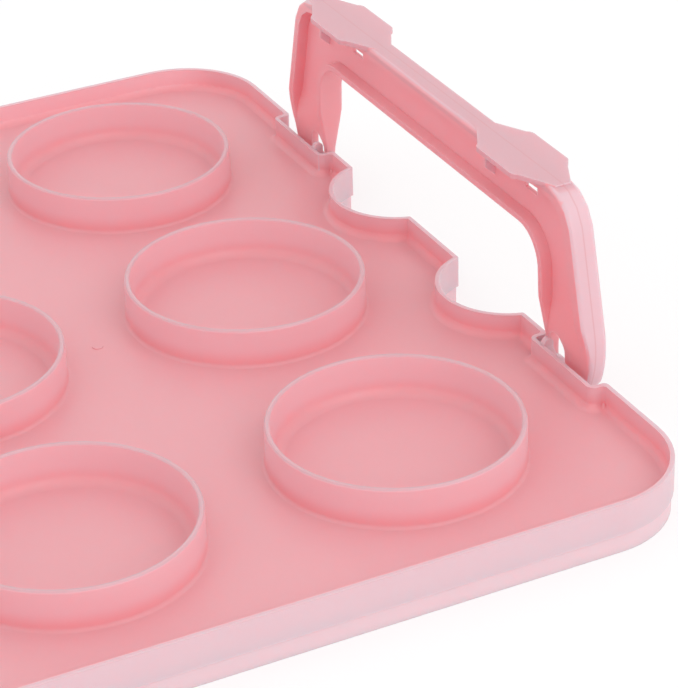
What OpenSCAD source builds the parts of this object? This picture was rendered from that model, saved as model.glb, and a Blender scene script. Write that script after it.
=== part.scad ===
// Cupcake carrier: a moulded tray with twelve cup rings and two fold-out carry handles.
// Frame: millimetres, +Z up, origin at the middle of the base, +X towards the right handle.

/* [Cups] */
// Rows of cups along the tray
cup_rows = 4; // [2:1:6]
// Cups across the tray
cup_columns = 3; // [3:1:5]
// Distance between cup centres
cup_pitch = 81; // [78:0.5:90]
// Inner radius of a cup ring at its rim
cup_radius = 28.8; // [26:0.1:31]
// Thickness of a cup ring at its rim
cup_wall = 1.4; // [1:0.1:2]
// Height of a cup ring above the tray floor
cup_height = 10.2; // [6:0.1:13]
// How far a ring narrows inside from rim to floor
cup_draft = 0.4; // [0:0.1:0.8]
// Fillet inside a cup
cup_fillet = 2.8; // [1:0.1:4]
// Fillet round the outside of a cup
cup_root = 1.0; // [0.4:0.1:2]

/* [Tray] */
// Margin from the end cups' cells to the end walls
end_margin = 13.35; // [10:0.05:30]
// Margin from the side cups' cells to the side walls
side_margin = 9.8; // [6:0.1:30]
// Outer radius of the tray's corners
corner_radius = 23.5; // [15:0.5:40]
// Thickness of the rim wall
wall = 1.1; // [0.9:0.1:2]
// Height of the rim above the base
rim_height = 13.1; // [12:0.1:16]
// Height of the floor's top above the base
floor_height = 6.9; // [5:0.1:8]
// Thickness of the floor
floor_thickness = 1.6; // [1:0.1:2.5]
// How far the upper band of the skirt stands proud of the lower band
band_step = 0.5; // [0.1:0.1:1]
// Height of the lower band of the skirt
band_height = 4.9; // [2:0.1:7]
// Fillet between the floor and the rim wall
floor_fillet = 2.0; // [0.5:0.1:3]

// Radius of the gate marks on the floor
gate_radius = 1.4; // [0.8:0.1:2]
// Height of the gate marks above the floor
gate_rise = 0.2; // [0.1:0.1:0.4]

/* [Scallops] */
// Radius of the finger scallops in the end walls
scallop_radius = 17.1; // [12:0.1:20]
// Distance of a scallop's centre beyond the end wall
scallop_out = 4.8; // [2:0.1:8]
// Distance of a scallop's centre from the middle of the end
scallop_across = 29.6; // [24:0.1:34]
// Radius of the bends at a scallop's mouth
mouth_bend = 0.5; // [0.2:0.1:1]

/* [Handle recesses] */
// Depth of the recess in the end wall behind each leg
recess_depth = 3.85; // [3:0.05:6]
// Gap between the recess and the inner side of a foot
recess_inner_gap = 1.2; // [0.4:0.1:2]
// Gap between the recess and the widest part of a leg
recess_outer_gap = 4.8; // [1:0.1:8]
// Radius of the recess's outer bends
step_bend = 1.2; // [0.4:0.1:2]
// Radius of the recess's inner bends
bay_bend = 1.0; // [0.3:0.1:1.6]

/* [Hinges] */
// Height of the hinge axis above the base
pivot_height = 6.8; // [6:0.1:9]
// Radius of the pin moulded on each foot
pin_radius = 1.1; // [0.8:0.1:1.3]
// Radial clearance of the pin in its eye
pin_clearance = 0.08; // [0.04:0.01:0.1]
// Wall of the eye round the pin
eye_wall = 1.1; // [0.8:0.1:1.5]
// Thickness of the hinge ear
ear_thickness = 1.6; // [1.2:0.1:2.2]
// Height of the ear's knuckle above the rim
knuckle_rise = 1.6; // [0.5:0.1:2]
// Reach of the knuckle from the recess wall
knuckle_reach = 2.4; // [2:0.05:2.6]
// Gap between the ear and the tine beside it
ear_tine_gap = 0.5; // [0.3:0.1:1]
// Gap between the ear and the foot on the pin's side
ear_foot_gap = 5.1; // [1:0.1:6]
// Gap between the pin's end and the tine
pin_end_gap = 0.4; // [0.2:0.1:0.45]

/* [Handles] */
// Height of a handle from its hinge axis to its top
handle_height = 49.3; // [40:0.1:70]
// Depth of the grip beam
grip_depth = 15.8; // [12:0.1:20]
// Thickness of the handle
handle_thickness = 6.8; // [5.6:0.1:7.2]
// Thickness of the web between the channels
web_thickness = 1.1; // [0.8:0.1:2]
// Thickness of the outer flange
outer_flange = 3.2; // [2:0.1:4]
// Thickness of the inner flange
inner_flange = 1.9; // [1.2:0.1:2.5]
// Draft of the channel walls
channel_draft = 0.35; // [0.1:0.05:0.6]
// Rounding of the outer flange's long edges
edge_round = 1.3; // [0.5:0.1:1.3]
// Rounding of the inner flange's long edges
inner_edge_round = 0.6; // [0.3:0.1:0.9]
// Half width of the handle at the corners of its top
top_half_width = 70.9; // [66:0.1:76]
// Half width of the handle at its knees, before rounding
knee_half_width = 81.0; // [78:0.1:84]
// Height of the knees above the hinge axis
knee_height = 9.2; // [8:0.1:12]
// Half width of the handle at its feet
foot_half_width = 77.2; // [74:0.1:80]
// Half width between the feet
inner_half_width = 59.2; // [57:0.1:60.5]
// How far each leg's inner side leans in towards the grip
inner_lean = 1.2; // [0:0.1:2]
// Rounding of the knees
knee_round = 22; // [10:1:24]
// Outer rounding of the top corners
crown_round = 11.4; // [6:0.1:14]
// Inner rounding under the top corners
inner_round = 9; // [4:0.1:11]
// Radius of the foot round the hinge axis
foot_radius = 1.8; // [1.6:0.1:2.2]
// Height above the hinge axis where a leg starts to taper to its foot
taper_top = 18; // [16:0.1:22]
// Height above the hinge axis where the taper ends
taper_bottom = 6; // [5:0.1:9]
// Half thickness of a leg at the end of its taper
foot_half = 1.3; // [1.3:0.1:1.8]
// Height above the hinge axis where the front channel runs out
channel_end = 8.5; // [7:0.1:12]
// Thickness of the tine beside the ear
tine = 1.6; // [1.2:0.1:2]
// Height of the notch's crown above the hinge axis
notch_height = 9.9; // [9.4:0.1:11]

/* [Grip wings] */
// Where a wing starts, from the middle of the grip
wing_start = 28.5; // [20:0.5:34]
// Length of the wing's first bevel
wing_bevel_in = 8; // [4:0.5:10]
// Length of the wing's straight edge
wing_length = 16.5; // [10:0.5:18]
// Length of the wing's second bevel
wing_bevel_out = 8.5; // [4:0.5:10]
// Width of a wing beyond the handle's face
wing_width = 4.5; // [2:0.1:4.7]
// Thickness of a wing
wing_thickness = 1.3; // [1:0.1:2]
// Rounding of a wing's corners
wing_round = 2.2; // [0.5:0.1:3]
// Thickness of the gussets under a wing
gusset_thickness = 1; // [0.8:0.1:1.6]
// Height of a gusset below the grip's top
gusset_height = 10.9; // [9:0.1:12]
// Depth of a gusset's front edge below the grip's top
gusset_lip = 8.2; // [6:0.1:8.6]
// Distance of a gusset from the middle of the wing
gusset_spread = 12.4; // [9:0.1:13]
// Length of the slits through the web
slit_length = 5; // [2:0.1:6]
// Height of the slits through the web
slit_height = 1.7; // [1:0.1:2]
// Depth of the slits' middle below the grip's top
slit_depth = 6; // [5:0.1:8]
// Distance of the slits from the middle of the wing
slit_spread = 4.8; // [4:0.1:6]

/* [Hidden] */
tray_colour = [0.94, 0.66, 0.69];
handle_colour = [0.91, 0.62, 0.66];

// Degrees per straight piece of a large and of a small arc
arc_step = 6;
bend_step = 15;
// Radius below which an arc counts as a small bend
bend_limit = 3;
// How far solids run into each other where they are fused
bond = 0.3;
$fn = 96;

tray_length = cup_rows * cup_pitch + 2 * end_margin;
tray_width = cup_columns * cup_pitch + 2 * side_margin;
end_x = tray_length / 2;
side_y = tray_width / 2;

// The handle's outlines, half of it: y is the distance from the middle, z the height
// above the hinge axis
foot_corner = [foot_half_width, 0];
knee_corner = [knee_half_width, knee_height];
top_corner = [top_half_width, handle_height];
inner_crown = [inner_half_width - inner_lean, handle_height - grip_depth];

// Centre of the circle of radius r in the corner v between lines to a and b
function corner_centre(a, v, b, r) =
    let (u = unit(a - v), w = unit(b - v), turn = acos(u * w))
    v + unit(u + w) * r / sin(turn / 2);
// Where the line through a and b passes height z
function line_y(a, b, z) = a.x + (b.x - a.x) * (z - a.y) / (b.y - a.y);

knee_centre = corner_centre(foot_corner, knee_corner, top_corner, knee_round);
crown_centre = corner_centre(knee_corner, top_corner, [0, handle_height], crown_round);
inner_centre = [inner_crown.x - inner_round, inner_crown.y - inner_round];

// The outward normal of the line from a up to b
function outward(a, b) = [unit(b - a).y, -unit(b - a).x];

pivot_x = end_x;
notch_from = inner_half_width + tine;
ear_from = notch_from + ear_tine_gap;
notch_to = ear_from + ear_thickness + ear_foot_gap;
recess_from = inner_half_width - recess_inner_gap;
recess_to = knee_centre.x + knee_round + recess_outer_gap;
eye_radius = pin_radius + pin_clearance + eye_wall;

function unit(v) = v / norm(v);
function polar(centre, r, a) = centre + r * [cos(a), sin(a)];
function clamp01(t) = min(1, max(0, t));

// Half of a scallop's mouth, between the centres of the bends at its ends
function mouth_reach(inset) = sqrt(
    pow(scallop_radius + inset + mouth_bend, 2) - pow(scallop_out + inset + mouth_bend, 2)
);

// The outline, drawn in by the inset, is a chain of arcs, [centre, radius, start, end],
// joined by straight lines. An arc of negative radius is a bay in the tray's edge.
function end_arcs(inset) =
    let (
        reach = mouth_reach(inset),
        turn = atan2(reach, scallop_out + inset + mouth_bend),
        mouth_x = end_x - inset - mouth_bend,
        step_x = end_x - inset - step_bend,
        bay_x = end_x - recess_depth + bay_bend
    )
    [
        [[mouth_x, scallop_across - reach], mouth_bend, 0, turn],
        [[end_x + scallop_out, scallop_across], -scallop_radius - inset, 180 + turn, 180 - turn],
        [[mouth_x, scallop_across + reach], mouth_bend, -turn, 0],
        [[step_x, recess_from - inset - step_bend], step_bend, 0, 90],
        [[bay_x, recess_from + bay_bend], -bay_bend - inset, 270, 180],
        [[bay_x, recess_to - bay_bend], -bay_bend - inset, 180, 90],
        [[step_x, recess_to + inset + step_bend], step_bend, -90, 0],
        [[end_x - corner_radius, side_y - corner_radius], corner_radius - inset, 0, 90]
    ];

function arc_pieces(arc) =
    ceil(abs(arc[3] - arc[2]) / (abs(arc[1]) < bend_limit ? bend_step : arc_step));
function arc_points(arc) = [
    for (i = [0 : arc_pieces(arc)])
        polar(arc[0], abs(arc[1]), arc[2] + (arc[3] - arc[2]) * i / arc_pieces(arc))
];
function quarter(inset) = distinct([for (arc = end_arcs(inset)) each arc_points(arc)]);
// The points of a chain, without those that repeat the one before
function distinct(list) =
    [for (i = [0 : len(list) - 1]) if (i == 0 || norm(list[i] - list[i - 1]) > 0.01) list[i]];
function reversed(list) = [for (i = [len(list) - 1 : -1 : 0]) list[i]];
function half(inset) = concat(
    quarter(inset),
    [for (p = reversed(quarter(inset))) [-p.x, p.y]]
);

// The tray's outline, drawn in by the inset all round
module outline(inset) {
    polygon(concat(half(inset), [for (p = reversed(half(inset))) [p.x, -p.y]]));
}

// A copy at each end and each side of the middle
module four_ways() {
    for (mx = [0, 1], my = [0, 1])
        mirror([mx, 0, 0]) mirror([0, my, 0]) children();
}

// Section of the fillet between floor and wall: the wall at x = 0, the floor at y = 0.
// Its arc stops short of upright, so that it runs into the wall at a clear angle.
module fillet_section(r) {
    polygon(concat(
        [[-bond, r], [-bond, -bond], [r, -bond]],
        [for (a = [270 : -16 : 190]) polar([r, r], r, a)]
    ));
}

// Fillet along one straight stretch of wall, from a to b, with the tray's inside on the left
module straight_fillet(a, b) {
    along = unit(b - a);
    translate(concat(a - bond * along, floor_height))
        rotate([0, 0, atan2(along.y, along.x)])
            rotate([90, 0, 90])
                linear_extrude(norm(b - a) + 2 * bond) fillet_section(floor_fillet);
}

// Fillet along one arc of the wall
module arc_fillet(arc) {
    r = abs(arc[1]);
    extra = bond / r * 180 / PI;
    from = min(arc[2], arc[3]) - (arc[1] > 0 ? 0 : extra);
    sweep = abs(arc[3] - arc[2]) + (arc[1] > 0 ? 0 : 2 * extra);
    translate(concat(arc[0], floor_height))
        rotate([0, 0, from])
            rotate_extrude(angle = sweep)
                translate([r, 0]) mirror([arc[1] > 0 ? 1 : 0, 0]) fillet_section(floor_fillet);
}

module wall_fillets() {
    arcs = end_arcs(wall);
    last = len(arcs) - 1;
    ends = [for (arc = arcs) arc_points(arc)];
    four_ways() {
        straight_fillet([ends[0][0].x, -bond], ends[0][0]);
        for (i = [0 : last - 1])
            if (norm(ends[i + 1][0] - ends[i][len(ends[i]) - 1]) > bond)
                straight_fillet(ends[i][len(ends[i]) - 1], ends[i + 1][0]);
        straight_fillet(ends[last][len(ends[last]) - 1], [-bond, side_y - wall]);
        for (arc = arcs)
            if (arc[1] < 0 || arc[1] > floor_fillet)
                arc_fillet(arc);
    }
}

// Section of one cup ring: fillets at its foot, a slight draft inside and a round rim
module cup_section() {
    rim = cup_wall / 2;
    inner = cup_radius - cup_draft;
    outer = cup_radius + cup_wall;
    polygon(concat(
        [[inner - cup_fillet, -bond]],
        [for (a = [270 : 15 : 360]) polar([inner - cup_fillet, cup_fillet], cup_fillet, a)],
        [for (a = [180 : -30 : 0]) polar([cup_radius + rim, cup_height - rim], rim, a)],
        [for (a = [180 : 15 : 270]) polar([outer + cup_root, cup_root], cup_root, a)],
        [[outer + cup_root, -bond]]
    ));
}

module cups() {
    for (row = [0 : cup_rows - 1], column = [0 : cup_columns - 1])
        translate([
            (row - (cup_rows - 1) / 2) * cup_pitch,
            (column - (cup_columns - 1) / 2) * cup_pitch,
            floor_height
        ]) rotate_extrude() cup_section();
}

// Marks of the moulding gates, halfway between the inner and the end cups
module gate_marks() {
    for (side = [-1, 1])
        translate([side * cup_pitch, 0, floor_height - bond])
            cylinder(r = gate_radius, h = bond + gate_rise);
}

// One hinge ear, drawn from the side: x out from the tray, y up
module ear_section() {
    wall_x = end_x - recess_depth;
    knuckle_x = wall_x + knuckle_reach;
    knuckle_top = rim_height + knuckle_rise;
    knuckle_round = knuckle_reach / 2;
    translate([pivot_x, pivot_height]) circle(eye_radius);
    translate([knuckle_x - knuckle_round, knuckle_top - knuckle_round]) circle(knuckle_round);
    polygon([
        [wall_x - bond, pivot_height - eye_radius],
        [pivot_x, pivot_height - eye_radius],
        [pivot_x, pivot_height + eye_radius],
        [knuckle_x, knuckle_top - 2 * knuckle_round],
        [knuckle_x, knuckle_top - knuckle_round],
        [knuckle_x - knuckle_round, knuckle_top],
        [wall_x - bond, knuckle_top - knuckle_round]
    ]);
}

module ear() {
    translate([0, ear_from + ear_thickness, 0])
        rotate([90, 0, 0])
            linear_extrude(ear_thickness)
                difference() {
                    ear_section();
                    translate([pivot_x, pivot_height]) circle(pin_radius + pin_clearance);
                }
}

module tray() {
    color(tray_colour) {
        difference() {
            union() {
                linear_extrude(rim_height) outline(band_step);
                translate([0, 0, band_height])
                    linear_extrude(rim_height - band_height) outline(0);
            }
            translate([0, 0, floor_height]) linear_extrude(rim_height) outline(wall);
            translate([0, 0, -bond])
                linear_extrude(floor_height - floor_thickness + bond) outline(wall + band_step);
        }
        wall_fillets();
        cups();
        gate_marks();
        four_ways() ear();
    }
}

// Outer side of a leg at height z: two straight lines with the knee's round between them
function leg_outer(z) =
    let (
        round_from = knee_centre.y + knee_round * outward(foot_corner, knee_corner).y,
        round_to = knee_centre.y + knee_round * outward(knee_corner, top_corner).y,
        lift = z - knee_centre.y
    )
    z > round_from && z < round_to ? knee_centre.x + sqrt(knee_round * knee_round - lift * lift)
        : min(line_y(foot_corner, knee_corner, z), line_y(knee_corner, top_corner, z));
function leg_inner(z) =
    inner_half_width - inner_lean * clamp01(z / (inner_centre.y));

// Outer side of the corner, seen from the inner round's centre under the angle a
function crown_outer(a) =
    let (
        ray = [cos(a), sin(a)],
        normal = outward(knee_corner, top_corner),
        to_side = (knee_corner - inner_centre) * normal / max(0.001, ray * normal),
        to_top = (handle_height - inner_centre.y) / max(0.001, ray.y),
        offset = crown_centre - inner_centre,
        near = offset * ray,
        square = crown_round * crown_round - offset * offset + near * near,
        to_round = near + sqrt(max(0, square)),
        hit = inner_centre + to_round * ray,
        on_round = square > 0 && (hit - crown_centre) * [1, 0] > 0
            && hit.y > (crown_centre + crown_round * normal).y
    )
    inner_centre + (on_round ? to_round : min(to_side, to_top)) * ray;

// Stations along half of the handle, each an inner and an outer point
leg_steps = 11;
crown_step = 9;
leg_stations = [
    for (i = [0 : leg_steps])
        let (z = inner_centre.y * i / leg_steps)
        [[leg_inner(z), z], [leg_outer(z), z]]
];
crown_stations = [
    for (a = [crown_step : crown_step : 90])
        [polar(inner_centre, inner_round, a), crown_outer(a)]
];
half_stations = concat(leg_stations, crown_stations);
function mirrored(station) = [for (p = station) [-p.x, p.y]];
stations = concat(half_stations, [for (s = reversed(half_stations)) mirrored(s)]);

// One face of a section, with the depths of its inner flange, outer flange and channel
function face_points(inner_depth, outer_depth, channel, width) = concat(
    [
        for (a = [180 : -30 : 90])
            polar([inner_edge_round, inner_depth - inner_edge_round], inner_edge_round, a)
    ],
    [
        [inner_flange, inner_depth],
        [inner_flange + channel_draft, channel],
        [width - outer_flange - channel_draft, channel],
        [width - outer_flange, outer_depth]
    ],
    [for (a = [90 : -30 : 0]) polar([width - edge_round, outer_depth - edge_round], edge_round, a)]
);

// Section of the handle at one station: an H with round outer edges. A leg's front and its
// inner edge taper to the foot, and the front channel runs out above it.
function section(station) =
    let (
        inner = station[0],
        outer = station[1],
        width = norm(outer - inner),
        across = (outer - inner) / width,
        height = inner.y,
        half = handle_thickness / 2,
        taper = clamp01((taper_top - height) / (taper_top - taper_bottom)),
        open = clamp01((height - channel_end) / (taper_top - channel_end)),
        heel = clamp01(1 - height / foot_radius),
        tapered = half - taper * (half - foot_half),
        back = half - heel * (half - foot_radius),
        web = web_thickness / 2,
        front_face = face_points(tapered, tapered, tapered - open * (tapered - web), width),
        back_face = face_points(tapered, back, web + heel * (tapered - web), width),
        ring = concat(back_face, [for (p = reversed(front_face)) [p.x, -p.y]])
    )
    [for (p = ring) let (q = inner + across * p.x) [p.y, q.x, q.y]];

// A solid through a row of sections with as many points each
module loft(sections) {
    n = len(sections[0]);
    last = len(sections) - 1;
    polyhedron(
        points = [for (s = sections) each s],
        faces = concat(
            [
                for (k = [0 : last - 1], i = [0 : n - 1])
                    let (j = (i + 1) % n)
                    each [
                        [k * n + i, (k + 1) * n + i, (k + 1) * n + j],
                        [k * n + i, (k + 1) * n + j, k * n + j]
                    ]
            ],
            [[for (i = [0 : n - 1]) i]],
            [[for (i = [n - 1 : -1 : 0]) last * n + i]]
        )
    );
}

// A plate in the handle's own plane, drawn as y and z, of the given thickness along x
module across_plate(x_from, x_to) {
    translate([x_from, 0, 0]) rotate([90, 0, 90]) linear_extrude(x_to - x_from) children();
}

wing_middle = wing_start + wing_bevel_in + wing_length / 2;

// Outline of one pair of wings from above, with round tips
module wing_outline() {
    base = handle_thickness / 2 - edge_round;
    tip = handle_thickness / 2 + wing_width;
    in_corner = [tip, wing_start + wing_bevel_in];
    out_corner = [tip, in_corner.y + wing_length];
    in_foot = [base, wing_start - wing_bevel_in * edge_round / wing_width];
    out_foot = [base, out_corner.y + wing_bevel_out * (1 + edge_round / wing_width)];
    in_centre = corner_centre(in_foot, in_corner, out_corner, wing_round);
    out_centre = corner_centre(in_corner, out_corner, out_foot, wing_round);
    in_angle = -atan2(tip - base, in_corner.y - in_foot.y);
    out_angle = atan2(tip - base, out_foot.y - out_corner.y);
    edge = concat(
        [in_foot],
        [for (i = [0 : 3]) polar(in_centre, wing_round, (90 + in_angle) * (i / 3 - 1))],
        [for (i = [0 : 3]) polar(out_centre, wing_round, (90 - out_angle) * i / 3)],
        [out_foot]
    );
    polygon(concat(edge, [for (p = reversed(edge)) [-p.x, p.y]]));
}

// A gusset in the front channel under a wing, seen along the grip
module gusset() {
    translate([0, gusset_thickness / 2, handle_height])
        rotate([90, 0, 0])
            linear_extrude(gusset_thickness)
                polygon([
                    [-handle_thickness / 2, -wing_thickness / 2],
                    [-handle_thickness / 2, -gusset_lip],
                    [-web_thickness / 2, -gusset_height],
                    [0, -gusset_height],
                    [0, -wing_thickness / 2]
                ]);
}

// A handle about its hinge axis: the frame, its wings, gussets and hinge pins
module handle() {
    notch_radius = (notch_to - notch_from) / 2;
    notch_centre = (notch_to + notch_from) / 2;
    difference() {
        union() {
            loft([for (s = stations) section(s)]);
            for (turn = [0, 180]) rotate([0, 0, turn]) {
                translate([0, 0, handle_height - wing_thickness])
                    linear_extrude(wing_thickness) wing_outline();
                for (wing = [-1, 1])
                    translate([0, wing * wing_middle + gusset_spread, 0]) gusset();
                translate([0, foot_half_width - edge_round, 0])
                    rotate([90, 0, 0])
                        cylinder(r = foot_radius, h = foot_half_width - inner_half_width - edge_round);
            }
        }
        for (turn = [0, 180]) rotate([0, 0, turn]) {
            across_plate(-handle_thickness, handle_thickness)
                translate([notch_centre, notch_height - notch_radius]) {
                    circle(notch_radius);
                    translate([-notch_radius, -handle_height])
                        square([2 * notch_radius, handle_height]);
                }
            for (step = [-1, 1])
                across_plate(-handle_thickness / 2, handle_thickness / 2)
                    translate([
                        wing_middle + step * slit_spread - slit_length / 2,
                        handle_height - slit_depth - slit_height / 2
                    ]) square([slit_length, slit_height]);
        }
    }
    for (turn = [0, 180]) rotate([0, 0, turn])
        translate([0, notch_to + bond, 0])
            rotate([90, 0, 0])
                cylinder(r = pin_radius, h = notch_to + bond - notch_from - pin_end_gap);
}

module right_handle() {
    color(handle_colour) translate([pivot_x, 0, pivot_height]) handle();
}

module left_handle() {
    color(handle_colour) rotate([0, 0, 180]) translate([pivot_x, 0, pivot_height]) handle();
}

tray();
right_handle();
left_handle();
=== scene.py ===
"""Cupcake carrier: finishes for the moulded tray and its carry handles, on a plain stage."""

import math

import bpy
from mathutils import Matrix, Vector


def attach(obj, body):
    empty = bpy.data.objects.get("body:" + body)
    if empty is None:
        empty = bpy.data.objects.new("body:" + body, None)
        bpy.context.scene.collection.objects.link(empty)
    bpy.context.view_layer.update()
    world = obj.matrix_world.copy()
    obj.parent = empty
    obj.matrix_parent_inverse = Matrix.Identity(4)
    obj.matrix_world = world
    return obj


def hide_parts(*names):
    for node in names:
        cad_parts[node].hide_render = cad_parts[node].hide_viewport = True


bl_info = {
    "name": "Cupcake Carrier",
    "version": (1, 0, 0),
    "blender": (4, 5, 0),
    "location": "View3D > Sidebar > Carrier",
    "description": "Dresses a moulded cupcake tray and its folding handles",
    "category": "Object",
}

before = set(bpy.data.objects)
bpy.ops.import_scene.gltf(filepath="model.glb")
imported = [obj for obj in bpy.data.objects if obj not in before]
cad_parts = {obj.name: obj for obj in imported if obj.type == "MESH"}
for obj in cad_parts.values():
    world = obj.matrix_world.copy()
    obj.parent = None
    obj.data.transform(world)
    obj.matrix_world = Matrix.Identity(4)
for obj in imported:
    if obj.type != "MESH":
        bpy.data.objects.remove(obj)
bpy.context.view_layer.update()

MM = 0.001
WHITE = (1.0, 1.0, 1.0, 1.0)

# Sizes of the solids that the finishes follow
END_X = 175.35 * MM  # outer face of an end wall, and a handle's middle plane
PIVOT_Z = 6.8 * MM
SIDE_Y = 131.3 * MM
CORNER_X, CORNER_Y = 151.85 * MM, 107.8 * MM  # centre of a corner's round
CORNER_RADIUS = 23.5 * MM
SCALLOP_X, SCALLOP_Y = 180.15 * MM, 29.6 * MM  # centre of a finger scallop
SCALLOP_RADIUS = 17.1 * MM
FLOOR_Z = 6.9 * MM
RIM_Z = 13.1 * MM
RING_Z = 17.1 * MM
GRIP_Z = 56.1 * MM
KNEE_Y, KNEE_Z = 81.0 * MM, 16.0 * MM  # a leg is widest here
FOOT_Y = 77.2 * MM
LEG_LEAN, FOOT_LEAN = 0.252, 0.413  # how far a leg leans in for each step up or down
GUSSETS_Y = (32.35 * MM, 57.15 * MM)
BAY_X, BAY_Y = 170.6 * MM, (57.5 * MM, 84.5 * MM)  # just inside a handle recess's wall
RINGS_X, RINGS_Y = 158.0 * MM, 116.0 * MM  # no ring reaches past these

# Small mends of the solids
PITS_X = (-173.9 * MM, 173.9 * MM)
PITS_Y = (-86.15 * MM, -56.55 * MM, 56.55 * MM, 86.15 * MM)
PITS_Z = 7.3 * MM
SLITS_Y = (-50.1 * MM, -40.3 * MM, 40.3 * MM, 50.1 * MM)
SLITS_Z = 49.65 * MM

# How deep light goes into each moulding
TRAY_LIGHT_DEPTH = 3.5 * MM
HANDLE_LIGHT_DEPTH = 9.0 * MM

TRAY_NODE = "tray"
HANDLE_NODES = ("right_handle", "left_handle")
BODIES = {
    TRAY_NODE: "tray_body",
    "right_handle": "right_handle_body",
    "left_handle": "left_handle_body",
}


class Value:
    """A socket in a node tree; arithmetic on it adds Math nodes."""

    def __init__(self, tree, socket):
        self.tree = tree
        self.socket = socket

    def math(self, operation, *others):
        return self.tree.add("ShaderNodeMath", {"operation": operation}, (self, *others))

    def __add__(self, other):
        return self.math("ADD", other)

    __radd__ = __add__

    def __mul__(self, other):
        return self.math("MULTIPLY", other)

    __rmul__ = __mul__

    def __sub__(self, other):
        return self.math("SUBTRACT", other)

    def __rsub__(self, other):
        return (self * -1.0) + other

    def clamped(self):
        return self.math("MAXIMUM", 0.0).math("MINIMUM", 1.0)

    def step(self, low, high):
        """0 below low, 1 above high, and a smooth rise between."""
        return self.tree.add(
            "ShaderNodeMapRange",
            {"interpolation_type": "SMOOTHSTEP"},
            (self, low, high, 0.0, 1.0),
        )


class Tree:
    """The node tree of a material or a world, filled through one method."""

    def __init__(self, owner, output_kind="ShaderNodeOutputMaterial"):
        owner.use_nodes = True
        self.owner = owner
        self.output_kind = output_kind
        self.nodes = owner.node_tree.nodes
        self.links = owner.node_tree.links
        self.nodes.clear()

    def add(self, kind, settings=None, inputs=(), output=0):
        """Adds a node: its settings first, then its sockets by number or by name."""
        node = self.nodes.new(kind)
        for key, setting in (settings or {}).items():
            setattr(node, key, setting)
        named = inputs.items() if isinstance(inputs, dict) else enumerate(inputs)
        for key, value in named:
            if isinstance(value, Value):
                self.links.new(value.socket, node.inputs[key])
            elif value is not None:
                node.inputs[key].default_value = value
        return Value(self, node.outputs[output])

    def split(self, vector):
        """A vector's three parts, as values."""
        outputs = self.add("ShaderNodeSeparateXYZ", inputs=(vector,)).socket.node.outputs
        return [Value(self, outputs[i]) for i in range(3)]

    def place(self):
        """The surface point in the frame's own metres."""
        return self.add("ShaderNodeTexCoord", output=3)

    def facing(self):
        """The direction that the surface faces, turning with its piece."""
        return self.add("ShaderNodeTexCoord", output=1)

    def noise(self, point, scale, detail, roughness=0.5):
        return self.add(
            "ShaderNodeTexNoise",
            {"noise_dimensions": "3D"},
            {"Vector": point, "Scale": scale, "Detail": detail, "Roughness": roughness},
        )

    def reach(self, across, along):
        """The distance that two lengths at a right angle make."""
        return (across * across + along * along).math("SQRT")

    def blend(self, factor, first, second):
        return self.add(
            "ShaderNodeMix",
            {"data_type": "RGBA"},
            {"Factor": factor, 6: first, 7: second},
            output=2,
        )

    def finish(self, shader):
        output = self.nodes.new(self.output_kind)
        self.links.new(shader.socket, output.inputs["Surface"])
        return self.owner


def opaque(colour, shade=1.0):
    """A colour with full alpha, darkened by the shade."""
    return (*(part * shade for part in colour), 1.0)


class CarrierColours(bpy.types.PropertyGroup):
    """Colours and finish of the plastic, and the painted sheen and painted light laid over
    it.
    """

    plastic: bpy.props.FloatVectorProperty(
        name="Plastic",
        description="Colour of the moulded plastic",
        subtype="COLOR",
        default=(0.89, 0.40, 0.435),
    )
    # Painted sheen: a pale veil laid on the handles' edge faces and top, standing in for the
    # light that falls on them.
    outer_edge_painted_sheen: bpy.props.FloatVectorProperty(
        name="Outer edge sheen",
        description="Colour of the painted sheen on the handles' outer edge",
        subtype="COLOR",
        default=(0.765, 0.54, 0.592),
    )
    # Painted sheen: a pale veil laid on the tray's outer faces and, rising upwards, on its
    # walls.
    tray_painted_sheen: bpy.props.FloatVectorProperty(
        name="Tray sheen",
        description="Colour of the tray's outer faces and walls",
        subtype="COLOR",
        default=(0.735, 0.55, 0.60),
    )
    # Painted sheen: a greyer tone laid on the tops of the rims, standing in for how light
    # catches them.
    rim_painted_sheen: bpy.props.FloatVectorProperty(
        name="Rim sheen",
        description="Colour of the rounded rims of the rings and the tray",
        subtype="COLOR",
        default=(0.65, 0.43, 0.47),
    )
    # Painted sheen: a greyish tone laid on the wings' top faces, as they look in the light.
    wing_top_painted_sheen: bpy.props.FloatVectorProperty(
        name="Wing top sheen",
        description="Colour of thin plates that let light through",
        subtype="COLOR",
        default=(0.655, 0.415, 0.46),
    )
    # Painted light: a pale tone laid on the skirt's lower band for light from the floor, and
    # on walls for light coming through them.
    painted_pale_light: bpy.props.FloatVectorProperty(
        name="Pale light",
        description="Pale colour of the skirt's lower band, and of walls with light behind",
        subtype="COLOR",
        default=(1.0, 0.61, 0.655),
    )
    roughness: bpy.props.FloatProperty(
        name="Roughness",
        description="Roughness of the moulded skin",
        default=0.38,
        min=0.0,
        max=1.0,
        subtype="FACTOR",
    )
    translucence: bpy.props.FloatProperty(
        name="Translucence",
        description="How much light spreads inside the plastic",
        default=0.6,
        min=0.0,
        max=1.0,
        subtype="FACTOR",
    )


class CarrierSizes(bpy.types.PropertyGroup):
    """Small sizes of the finish."""

    edge_radius: bpy.props.FloatProperty(
        name="Edge radius",
        description="Rounding of the moulded edges",
        default=0.35 * MM,
        min=0.05 * MM,
        max=1.0 * MM,
        unit="LENGTH",
    )
    seam_width: bpy.props.FloatProperty(
        name="Seam width",
        description="Reach of the parting line to each side of the handles' middle",
        default=0.25 * MM,
        min=0.05 * MM,
        max=1.0 * MM,
        unit="LENGTH",
    )


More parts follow.
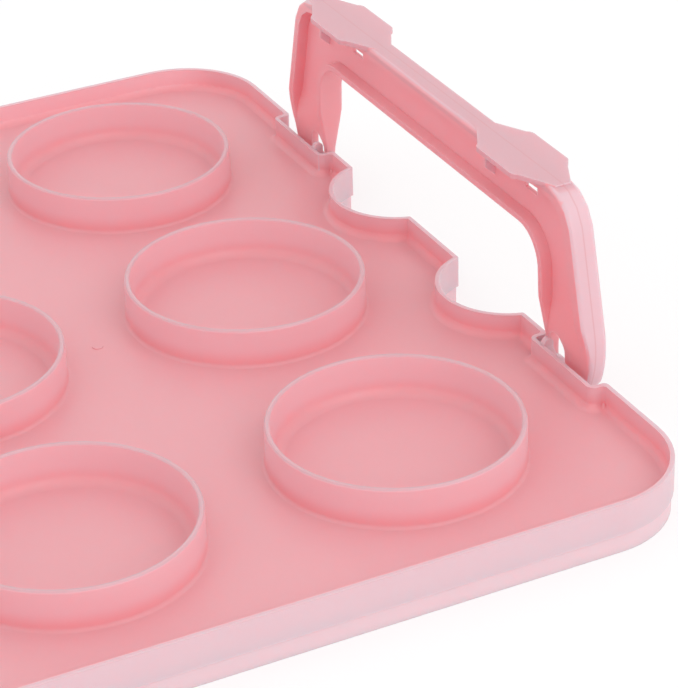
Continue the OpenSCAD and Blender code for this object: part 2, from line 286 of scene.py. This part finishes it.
class CarrierView(bpy.types.PropertyGroup):
    """Where the camera stands."""

    place: bpy.props.FloatVectorProperty(
        name="Place",
        description="Position of the camera in the frame",
        subtype="XYZ",
        unit="LENGTH",
        default=(-0.13583, -0.58045, 0.35801),
    )
    azimuth: bpy.props.FloatProperty(
        name="Azimuth",
        description="Heading of the view, from +Y towards +X",
        default=math.radians(26.003),
        subtype="ANGLE",
    )
    elevation: bpy.props.FloatProperty(
        name="Elevation",
        description="How far the view looks down",
        default=math.radians(29.740),
        subtype="ANGLE",
    )
    roll: bpy.props.FloatProperty(
        name="Roll",
        description="Tilt of the picture's horizon",
        default=math.radians(-1.660),
        subtype="ANGLE",
    )
    lens: bpy.props.FloatProperty(
        name="Lens",
        description="Focal length on a frame 36 mm along its long side",
        default=150.64,
        unit="CAMERA",
    )


def settings():
    scene = bpy.context.scene
    return scene.carrier_colours, scene.carrier_sizes, scene.carrier_view


def moulded_plastic(name, zones, light_depth):
    """Satin pink plastic. zones(tree, point) gives the masks and colours laid over it, and
    the mask of its parting line, which may be None. Light goes light_depth into it."""
    colours = settings()[0]
    tree = Tree(bpy.data.materials.new(name))
    point = tree.place()
    cloud = tree.noise(point, scale=9.0, detail=2.0)
    grain = tree.noise(point, scale=900.0, detail=3.0, roughness=0.6)
    layers, seam = zones(tree, point)
    colour = tree.blend(
        (cloud * 0.6).clamped(), opaque(colours.plastic), opaque(colours.plastic, 0.96)
    )
    for mask, layer in layers:
        colour = tree.blend(mask, colour, opaque(layer))
    height = grain - seam * 1.5 if seam else grain
    skin = tree.add(
        "ShaderNodeBump", inputs={"Strength": 0.08, "Distance": 0.2 * MM, "Height": height}
    )
    shader = tree.add(
        "ShaderNodeBsdfPrincipled",
        {"subsurface_method": "RANDOM_WALK"},
        {
            "Base Color": colour,
            "Roughness": (cloud - 0.5) * 0.06 + (grain - 0.5) * 0.05 + colours.roughness,
            "Normal": skin,
            "IOR": 1.49,
            "Subsurface Weight": colours.translucence,
            "Subsurface Radius": (1.0, 0.25, 0.25),
            "Subsurface Scale": light_depth,
            "Specular IOR Level": 0.5,
        },
    )
    return tree.finish(shader)


def deselect_all():
    for thing in bpy.context.selected_objects:
        thing.select_set(False)


def combine(piece, tool, operation):
    """Cuts the tool out of the piece, or joins it on, and removes the tool."""
    change = piece.modifiers.new(operation, "BOOLEAN")
    change.operation = operation
    change.solver = "EXACT"
    change.object = tool
    deselect_all()
    piece.select_set(True)
    bpy.context.view_layer.objects.active = piece
    bpy.ops.object.modifier_apply(modifier=change.name)
    bpy.data.objects.remove(tool, do_unlink=True)


def fill_corners(piece):
    """Fills the small pits where the floor's fillets meet in the handle recesses."""
    for x in PITS_X:
        for y in PITS_Y:
            deselect_all()
            bpy.ops.mesh.primitive_cone_add(
                vertices=16,
                radius1=1.5 * MM,
                radius2=0.2 * MM,
                depth=2.6 * MM,
                location=(x, y, PITS_Z),
            )
            combine(piece, bpy.context.object, "UNION")


def open_slits(piece):
    """Widens the slits under the wings, so that light shows through them."""
    side = math.copysign(END_X, sum(corner[0] for corner in piece.bound_box))
    for y in SLITS_Y:
        deselect_all()
        bpy.ops.mesh.primitive_cube_add(
            size=1.0,
            location=(side, y, SLITS_Z),
            scale=(2.4 * MM, 5.8 * MM, 2.6 * MM),
        )
        combine(piece, bpy.context.object, "DIFFERENCE")


def moulding(node, name, material, refine):
    """The node's solid, refined and with its moulded edges rounded, in the node's place."""
    sizes = settings()[1]
    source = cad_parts[node]
    deselect_all()
    piece = bpy.data.objects.new(name, source.data.copy())
    bpy.context.scene.collection.objects.link(piece)
    bpy.context.view_layer.objects.active = piece
    piece.select_set(True)
    piece.data.materials.clear()
    piece.data.materials.append(material)
    bpy.ops.object.mode_set(mode="EDIT")
    bpy.ops.mesh.select_all(action="SELECT")
    bpy.ops.mesh.remove_doubles(threshold=0.002 * MM)
    bpy.ops.mesh.customdata_custom_splitnormals_clear()
    bpy.ops.mesh.dissolve_limited(angle_limit=math.radians(0.5))
    bpy.ops.object.mode_set(mode="OBJECT")
    refine(piece)
    bevel = piece.modifiers.new("Moulded edges", "BEVEL")
    bevel.width = sizes.edge_radius
    bevel.segments = 3
    bevel.limit_method = "ANGLE"
    bevel.angle_limit = math.radians(60)
    bevel.use_clamp_overlap = True
    bpy.ops.object.modifier_apply(modifier=bevel.name)
    bpy.ops.object.shade_smooth_by_angle(angle=math.radians(30))
    weighted = piece.modifiers.new("Even shading", "WEIGHTED_NORMAL")
    weighted.keep_sharp = True
    bpy.ops.object.modifier_apply(modifier=weighted.name)
    deselect_all()
    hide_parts(node)
    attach(piece, BODIES[node])
    return piece


def tray_zones(tree, point):
    """Zones of the tray: painted sheen on its outer faces and thin walls, painted light from
    the floor on its skirt's lower band and through its walls, and painted greyish sheen on
    its rims.
    """
    colours = settings()[0]
    x, y, z = (part.math("ABSOLUTE") for part in tree.split(point))
    # Outer faces of the tray: they get the painted sheen, and their lower band the painted
    # light from the floor.
    to_scallop = tree.reach(x - SCALLOP_X, y - SCALLOP_Y)
    in_scallop = 1.0 - to_scallop.step(SCALLOP_RADIUS + 0.7 * MM, SCALLOP_RADIUS + 0.9 * MM)
    past_start = y.step(BAY_Y[0], BAY_Y[0] + 0.3 * MM)
    past_end = y.step(BAY_Y[1], BAY_Y[1] + 0.25 * MM)
    in_bay = x.step(BAY_X, BAY_X + 0.2 * MM) * past_start * (1.0 - past_end)
    on_end = x.step(END_X - 0.9 * MM, END_X - 0.7 * MM)
    on_side = y.step(SIDE_Y - 0.9 * MM, SIDE_Y - 0.7 * MM)
    corner = tree.reach(
        (x - CORNER_X).math("MAXIMUM", 0.0), (y - CORNER_Y).math("MAXIMUM", 0.0)
    ).step(CORNER_RADIUS - 0.9 * MM, CORNER_RADIUS - 0.7 * MM)
    outer = (in_scallop + in_bay + on_end + on_side + corner).clamped()
    # Painted sheen on the walls, rising towards their tops.
    walls = z.step(FLOOR_Z + 0.5 * MM, RIM_Z - 1.1 * MM)
    skin = (outer + walls * 0.6 * (1.0 - outer)).clamped()
    at_edge = x.step(RINGS_X, RINGS_X + 2.0 * MM) + y.step(RINGS_Y, RINGS_Y + 2.0 * MM)
    at_edge = at_edge.clamped()
    # Painted light through the long walls, laid on the faces near them, and faintly on the
    # rings' walls.
    above_floor = z.step(FLOOR_Z + 0.3 * MM, FLOOR_Z + 2.1 * MM)
    at_side = y.step(SIDE_Y - 9.3 * MM, SIDE_Y - 1.3 * MM)
    long_wall = at_side * above_floor * (1.0 - outer)
    rings = walls * (1.0 - at_edge)
    # Painted greyish sheen on the tops of the tray's and the rings' rims.
    edge_rim = at_edge * z.step(RIM_Z - 0.5 * MM, RIM_Z - 0.2 * MM)
    rims = edge_rim * 0.4 + z.step(RING_Z - 0.6 * MM, RING_Z - 0.2 * MM)
    # Painted light from the floor on the lower band of the outer faces.
    floor_bounce_light = outer * (1.0 - z.step(4.2 * MM, 5.0 * MM))
    pale = (floor_bounce_light + long_wall * 0.75 + rings * 0.25).clamped()
    return (
        (skin, colours.tray_painted_sheen),
        (pale, colours.painted_pale_light),
        (rims.clamped(), colours.rim_painted_sheen),
    ), None


def handle_zones(tree, point):
    """Zones of a handle: painted sheen on its outer edge and top, painted greyish sheen on
    its thin wings' tops, painted light on its gussets and web, and its parting line.
    """
    colours, sizes, _ = settings()
    x, y, z = (part.math("ABSOLUTE") for part in tree.split(point))
    side, along, up = (part.math("ABSOLUTE") for part in tree.split(tree.facing()))
    # Painted sheen on the handle's edge faces and top: it is kept off faces that face along
    # X.
    edge_on = 1.0 - side.step(0.6, 0.97)
    leg = y + (z - KNEE_Z) * LEG_LEAN - KNEE_Y
    foot = y - (z - PIVOT_Z) * FOOT_LEAN - FOOT_Y
    in_top = z.step(GRIP_Z - 2.5 * MM, GRIP_Z - 1.9 * MM)
    outer = leg.math("MAXIMUM", foot).step(-3.4 * MM, -2.8 * MM) + in_top
    outer = outer.clamped() * edge_on
    beyond = (x - END_X).math("ABSOLUTE")
    # Painted greyish sheen on the wings' top faces.
    wing = in_top * (up.step(0.85, 0.98) + beyond.step(3.2 * MM, 3.5 * MM)).clamped()
    # Painted light on the gussets' side faces, lifting the shade under the wings.
    to_inner, to_outer = ((y - middle).math("ABSOLUTE") for middle in GUSSETS_Y)
    on_gusset = 1.0 - to_inner.math("MINIMUM", to_outer).step(0.9 * MM, 1.1 * MM)
    gusset = on_gusset * along.step(0.5, 0.8) * z.step(44.0 * MM, 45.0 * MM)
    # Painted light: the thin web grows paler higher up, for light coming through it.
    web = z.step(20.0 * MM, 45.0 * MM) * 0.18
    skin = (outer * (1.0 - wing) + gusset + web).clamped()
    seam = (1.0 - beyond.step(sizes.seam_width * 0.4, sizes.seam_width)) * outer
    return (
        (skin, colours.outer_edge_painted_sheen),
        (wing * 0.9, colours.wing_top_painted_sheen),
        (seam * 0.35, [c * 0.72 for c in colours.plastic]),
    ), seam


class CARRIER_OT_tray(bpy.types.Operator):
    """Round and finish the moulded tray"""

    bl_idname = "carrier.tray"
    bl_label = "Finish tray"

    def execute(self, context):
        material = moulded_plastic("tray_plastic", tray_zones, TRAY_LIGHT_DEPTH)
        piece = moulding(TRAY_NODE, "moulded_tray", material, fill_corners)
        return {"FINISHED"}


class CARRIER_OT_handles(bpy.types.Operator):
    """Round and finish the two folding handles"""

    bl_idname = "carrier.handles"
    bl_label = "Finish handles"

    def execute(self, context):
        material = moulded_plastic("handle_plastic", handle_zones, HANDLE_LIGHT_DEPTH)
        for node in HANDLE_NODES:
            piece = moulding(node, "folding_" + node, material, open_slits)
        return {"FINISHED"}


def area_lamp(name, place, aim, size, power):
    lamp = bpy.data.lights.new(name, "AREA")
    lamp.shape = "SQUARE"
    lamp.size = size
    lamp.energy = power
    thing = bpy.data.objects.new(name, lamp)
    bpy.context.scene.collection.objects.link(thing)
    thing.location = place
    thing.rotation_euler = (Vector(aim) - Vector(place)).to_track_quat("-Z", "Y").to_euler()


def stage_material():
    """A white floor that keeps the carrier's soft shadow."""
    tree = Tree(bpy.data.materials.new("stage_white"))
    seen = tree.add("ShaderNodeLightPath")
    lit = tree.add("ShaderNodeBsdfDiffuse", inputs={"Color": opaque(WHITE[:3], 0.92)})
    white = tree.add("ShaderNodeBsdfDiffuse", inputs={"Color": WHITE})
    glow = tree.add("ShaderNodeEmission", inputs={"Color": WHITE})
    shown = tree.add("ShaderNodeMixShader", inputs=(0.6, white, glow))
    return tree.finish(tree.add("ShaderNodeMixShader", inputs=(seen, lit, shown)))


def daylight():
    """An even white light, behind which the camera sees pure white."""
    tree = Tree(bpy.data.worlds.new("soft_daylight"), "ShaderNodeOutputWorld")
    seen = tree.add("ShaderNodeLightPath")
    room = tree.add("ShaderNodeBackground", inputs={"Color": WHITE, "Strength": 0.93})
    shown = tree.add("ShaderNodeBackground", inputs={"Color": WHITE, "Strength": 1.0})
    return tree.finish(tree.add("ShaderNodeMixShader", inputs=(seen, room, shown)))


class CARRIER_OT_stage(bpy.types.Operator):
    """Set the floor, the light and the camera"""

    bl_idname = "carrier.stage"
    bl_label = "Set stage"

    def execute(self, context):
        scene = bpy.context.scene
        view = settings()[2]
        deselect_all()
        bpy.ops.mesh.primitive_plane_add(size=8.0, location=(0.0, 0.0, 0.0))
        floor = bpy.context.object
        floor.name = "floor"
        floor.data.materials.append(stage_material())

        scene.world = daylight()
        area_lamp("key", place=(0.45, -1.3, 1.2), aim=(0.05, 0.0, 0.0), size=1.2, power=6.0)

        camera = bpy.data.cameras.new("camera")
        camera.sensor_fit = "AUTO"
        camera.sensor_width = 36.0
        camera.lens = view.lens
        camera.clip_start = 0.01
        camera.clip_end = 50.0
        eye = bpy.data.objects.new("camera", camera)
        scene.collection.objects.link(eye)
        eye.location = view.place
        turn = Matrix.Rotation(-view.azimuth, 3, "Z")
        tilt = Matrix.Rotation(math.radians(90) - view.elevation, 3, "X")
        roll = Matrix.Rotation(view.roll, 3, "Z")
        eye.rotation_euler = (turn @ tilt @ roll).to_euler()
        scene.camera = eye
        scene.view_settings.view_transform = "Standard"
        return {"FINISHED"}


class CARRIER_PT_sidebar(bpy.types.Panel):
    """Sidebar with the carrier's settings and operators"""

    bl_label = "Cupcake carrier"
    bl_idname = "CARRIER_PT_sidebar"
    bl_space_type = "VIEW_3D"
    bl_region_type = "UI"
    bl_category = "Carrier"

    def draw(self, context):
        for group in settings():
            for key in group.__annotations__:
                self.layout.prop(group, key)
        for operator in OPERATORS:
            self.layout.operator(operator.bl_idname)


OPERATORS = (CARRIER_OT_tray, CARRIER_OT_handles, CARRIER_OT_stage)
GROUPS = {
    "carrier_colours": CarrierColours,
    "carrier_sizes": CarrierSizes,
    "carrier_view": CarrierView,
}


def register():
    for cls in (*GROUPS.values(), *OPERATORS, CARRIER_PT_sidebar):
        bpy.utils.register_class(cls)
    for key, group in GROUPS.items():
        setattr(bpy.types.Scene, key, bpy.props.PointerProperty(type=group))


def unregister():
    for key in GROUPS:
        delattr(bpy.types.Scene, key)
    for cls in (CARRIER_PT_sidebar, *reversed(OPERATORS), *reversed(GROUPS.values())):
        bpy.utils.unregister_class(cls)


def main():
    register()
    bpy.ops.carrier.tray()
    bpy.ops.carrier.handles()
    bpy.ops.carrier.stage()


if __name__ == "__main__":
    main()
